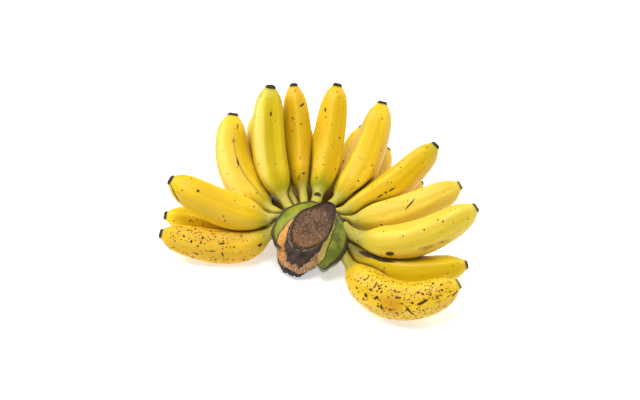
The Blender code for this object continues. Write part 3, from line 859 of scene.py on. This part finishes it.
def make_peel_finish(name, line, peel):
    finish = Finish("peel_" + name, 0.42)
    place = finish.place("grain")
    along = finish.number("along")
    crest = finish.number("crest")
    cloud = finish.noise(finish.stretched(place, 1.0, 1.0, 0.35), 0.07, 3.0, 0.5)
    streak = finish.noise(finish.stretched(place, 1.0, 1.0, 0.06), 0.9, 3.0, 0.6)
    fine = finish.noise(place, 1.4, 3.0, 0.6)
    yellow = tint(peel.yellow)
    deep = tuple(c * k for c, k in zip(yellow, (0.93, 0.86, 0.60, 1.0)))
    olive = tuple(c * k for c, k in zip(yellow, (0.72, 0.74, 0.20, 1.0)))
    pale = "FBDF6A"
    finish.colour = finish.layer(finish.step(cloud, 0.36, 0.64), deep, yellow)
    # Painted shade in olive in the grooves between the ridges, and painted highlight in pale along their
    # crests
    finish.paint(finish.step(crest, 0.2, -0.6, 0.0, 0.35), olive)
    finish.paint(finish.step(crest, 0.5, 1.0, 0.0, 0.16), pale)
    finish.paint(finish.step(streak, 0.52, 0.75, 0.0, 0.18), pale)
    finish.paint(finish.step(streak, 0.45, 0.25, 0.0, 0.18), "C99A1E")
    # Green fades out of the stem and, on some fingers, out of the tip
    drift = finish.sway(cloud, 0.5)
    growth = finish.sum("ADD", finish.number("growth"), drift)
    shoulder = finish.step(growth, 0.95, 0.25, 0.0, 0.3 + 0.6 * peel.stem)
    finish.paint(shoulder, peel.shoulder)
    finish.paint(finish.step(growth, 0.40, 0.05, 0.0, 0.9), peel.neck)
    if peel.tip:
        shifted = finish.sum("ADD", along, finish.times(drift, 0.4))
        finish.paint(finish.step(shifted, 0.84, 0.99, 0.0, peel.tip), "A5AC2A")
    # Stems have small brown flecks, drawn out across them
    stem = finish.step(growth, 0.35, 0.10)
    flecks = finish.spots(finish.stretched(place, 0.6, 0.6, 1.0), 1.9, 0.8, 0.28)
    finish.paint(finish.times(flecks, stem), "6A5526")
    # Painted shade: where fingers crowd together near the crown, the peel is painted a deep dull
    # olive for the shade between them
    crowded = finish.step(finish.number("crowded"), 0.2, 0.95)
    crowded = finish.times(crowded, finish.step(along, 0.62, 0.22, 0.3, 0.88))
    finish.paint(crowded, "54440A")
    # Where fingers press together the peel is browned by rubbing, and painted darker still as
    # painted shadow in the gap between them
    rub_brown_and_contact_shade = finish.step(finish.number("pressed"), 0.04, 0.16)
    rub_brown_and_contact_shade = finish.times(rub_brown_and_contact_shade, finish.step(fine, 0.36, 0.56))
    rub_brown_and_contact_shade = finish.times(rub_brown_and_contact_shade, finish.step(along, 0.72, 0.5, 0.2, 0.85))
    finish.paint(rub_brown_and_contact_shade, "54360C")
    # The finger's own marks, with ragged edges
    wobble = finish.node("ShaderNodeTexNoise", {"Vector": place, "Scale": 0.9, "Detail": 3.0})
    shift = finish.node("ShaderNodeVectorMath", {0: wobble.outputs["Color"], 1: (0.5, 0.5, 0.5)},
                        operation="SUBTRACT").outputs["Vector"]
    ragged = finish.node("ShaderNodeVectorMath", {0: shift, 1: (1.5, 1.5, 1.5), 2: place},
                         operation="MULTIPLY_ADD").outputs["Vector"]
    # Painted light and shade: the flats lay paler patches of painted light and deeper patches of painted
    # shade on facets, grooves and necks
    for mark, shade in peel.flats:
        flat = mark_shape(finish, place, line, mark, 0.35)
        finish.paint(flat, shade, 0.75)
    if peel.bruises:
        bruise = all_marks(finish, ragged, line, peel.bruises, 0.6)
        finish.paint(bruise, "C98A14", 0.7)
    if peel.rubs:
        rub = all_marks(finish, ragged, line, peel.rubs, 0.5)
        rub = finish.times(rub, finish.step(fine, 0.34, 0.6))
        finish.paint(rub, "8C4F22", 0.85)
    scars = all_marks(finish, ragged, line, peel.scars, 0.25)
    # Sugar freckles, in loose clusters
    crowd = finish.step(finish.noise(place, 0.11, 2.0), 0.34, 0.56, 0.4 * peel.freckles, peel.freckles)
    middle = finish.times(finish.step(along, 0.18, 0.36), finish.step(along, 0.99, 0.93))
    crowd = finish.times(crowd, middle)
    large = finish.spots(ragged, 2.6, 1.25, crowd)
    small = finish.spots(place, 1.7, 0.85, crowd)
    freckles = finish.sum("MAXIMUM", large, small)
    halo = finish.spots(place, 3.1, 1.5, finish.times(crowd, 0.7))
    finish.paint(halo, "C07A14", 0.35)
    brown = finish.layer(finish.step(fine, 0.4, 0.6), "5E2209", "8A3C10")
    finish.paint(freckles, brown, 0.9)
    # Scars are dark scabs
    scab = finish.layer(finish.step(fine, 0.45, 0.66), "150A05", "4A200C")
    finish.paint(scars, scab, 0.95)
    dark = finish.sum("MAXIMUM", scars, freckles)
    # The dried end, black inside a tan edge
    edge = finish.sum("ADD", along, finish.sway(fine, 0.016))
    tan = finish.step(edge, peel.cap - 0.014, peel.cap)
    finish.paint(tan, "9A7A2C", 0.6)
    black = finish.step(edge, peel.cap - 0.002, peel.cap + 0.002)
    soot = finish.layer(finish.step(fine, 0.42, 0.66), "241E1B", "5B4A3A")
    finish.paint(black, soot)
    # Waxy where it is whole, and dull where it is dry
    dry = finish.sum("MAXIMUM", black, finish.times(dark, 0.5))
    finish.tree.links.new(finish.step(dry, 0.0, 1.0, 0.40, 0.85), finish.shader.inputs["Roughness"])
    finish.shader.inputs["Sheen Weight"].default_value = 0.18
    finish.shader.inputs["Sheen Tint"].default_value = tint("FFEE9A")
    finish.shader.inputs["Sheen Roughness"].default_value = 0.4
    pores = finish.bump(fine, 0.06 * MM)
    fibres = finish.bump(streak, 0.10 * MM, pores)
    sunken = finish.bump(finish.sum("SUBTRACT", 1.0, dark), 0.10 * MM, fibres)
    return finish.complete(sunken)


def make_finger(name, line, others, seed):
    places, centres, spokes, grain, ridge, growth = finger_rings(line, seed)
    rings, pressed = press(line, others, centres, spokes)
    # The end of the tip is a shallow crumpled dish
    last = rings[-1]
    middle = last.mean(axis=0)
    dish = [middle + (last - middle) * share + rise * MM * line.tangent[-1] for share, rise in TIP_DISH]
    dish = np.array(dish)
    dish += waves(dish * 3, 9 * MM, 4 * MM, 8, seed + 90)[:, :, None] * 0.25 * MM * line.tangent[-1]
    dish_grain = grain[-1:] * np.array([[[share, share, 1.0]] for share, _ in TIP_DISH])
    ends = (centres[0], middle + TIP_DISH[-1][1] * MM * line.tangent[-1])
    numbers = {
        "grain": (np.concatenate([grain, dish_grain]) / MM, ((0, 0, 0), (0, 0, line.length / MM))),
    }
    for label, values, root_value, dish_value in (
            ("along", places[:, None], 0, 1),
            ("growth", growth[:, None], 0, 1),
            ("crest", (ridge - 1) / (RIDGE_RISE + CREST_RISE), 0, 0),
            ("pressed", pressed, 0, 0),
            ("crowded", crowding(others, rings), 0, 0)):
        values = np.broadcast_to(values, rings.shape[:2])
        values = np.concatenate([values, np.full(dish.shape[:2], dish_value)])
        numbers[label] = (values, (root_value, dish_value))
    material = make_peel_finish(name, line, PEELS[name])
    rings = np.concatenate([rings, dish])
    grown_piece(name + "_peel", rings, ends, material, name, numbers)


lines = {}
for row, fingers in (("upper", UPPER_ROW), ("lower", LOWER_ROW)):
    for number, finger in enumerate(fingers, 1):
        lines[f"{row}_finger_{number:02d}"] = Line(finger)
for seed, (name, line) in enumerate(lines.items()):
    near = []
    for other_name, other in lines.items():
        gap = np.linalg.norm(line.points[:, None] - other.points[None], axis=2).min()
        if other_name != name and gap < line.radius + other.radius:
            near.append(other)
    make_finger(name, line, near, seed)


# THE TABLE, THE LIGHT AND THE CAMERA
# The hand lies on a plain white table in a bright room of white walls, as for a catalogue
# picture: a soft lamp on either side of it and one above, and only faint shadows under it.

TABLE_SIZE = 6.0
TABLE_GREY = 0.8
TABLE_GLOW = 0.5
ROOM_GLOW = 0.3
LAMP_SIZE = 0.6
AIM = (3 * MM, 12.4 * MM, 38.9 * MM)
CAMERA_AWAY = 1.1
CAMERA_HEIGHT = math.radians(42)
LENS = 68.75


def make_table():
    half = TABLE_SIZE / 2
    corners = [(-half, -half, 0), (half, -half, 0), (half, half, 0), (-half, half, 0)]
    mesh = bpy.data.meshes.new("table_top")
    mesh.from_pydata(corners, [], [(0, 1, 2, 3)])
    table = bpy.data.objects.new("table_top", mesh)
    bpy.context.scene.collection.objects.link(table)
    finish = Finish("white_table", 0.7)
    finish.shader.inputs["Base Color"].default_value = (TABLE_GREY, TABLE_GREY, TABLE_GREY, 1.0)
    finish.shader.inputs["Emission Color"].default_value = (1.0, 1.0, 1.0, 1.0)
    finish.shader.inputs["Emission Strength"].default_value = TABLE_GLOW
    mesh.materials.append(finish.material)


def make_lamp(name, place, power):
    """A square soft lamp that looks at the fruit."""
    light = bpy.data.lights.new(name, "AREA")
    light.shape = "SQUARE"
    light.size = LAMP_SIZE
    light.energy = power
    lamp = bpy.data.objects.new(name, light)
    lamp.location = place
    away = np.array(place) - np.array(AIM)
    lamp.rotation_euler = (math.atan2(math.hypot(away[0], away[1]), away[2]), 0,
                           math.atan2(away[0], -away[1]))
    bpy.context.scene.collection.objects.link(lamp)


def make_camera():
    data = bpy.data.cameras.new("camera")
    data.sensor_width = 36
    data.lens = LENS
    camera = bpy.data.objects.new("camera", data)
    back = (0, -math.cos(CAMERA_HEIGHT) * CAMERA_AWAY, math.sin(CAMERA_HEIGHT) * CAMERA_AWAY)
    camera.location = tuple(a + b for a, b in zip(AIM, back))
    camera.rotation_euler = (math.pi / 2 - CAMERA_HEIGHT, 0, 0)
    bpy.context.scene.collection.objects.link(camera)
    bpy.context.scene.camera = camera


make_table()
room = bpy.data.worlds.new("white_room")
room.use_nodes = True
room.node_tree.nodes["Background"].inputs["Color"].default_value = (1.0, 1.0, 1.0, 1.0)
room.node_tree.nodes["Background"].inputs["Strength"].default_value = ROOM_GLOW
bpy.context.scene.world = room
bpy.context.scene.view_settings.view_transform = "Standard"
make_lamp("lamp_left", (-1.0, 0.3, 1.0), 11)
make_lamp("lamp_right", (1.1, 0.6, 0.9), 8)
make_lamp("lamp_top", (-0.1, -0.1, 1.5), 13)
make_camera()
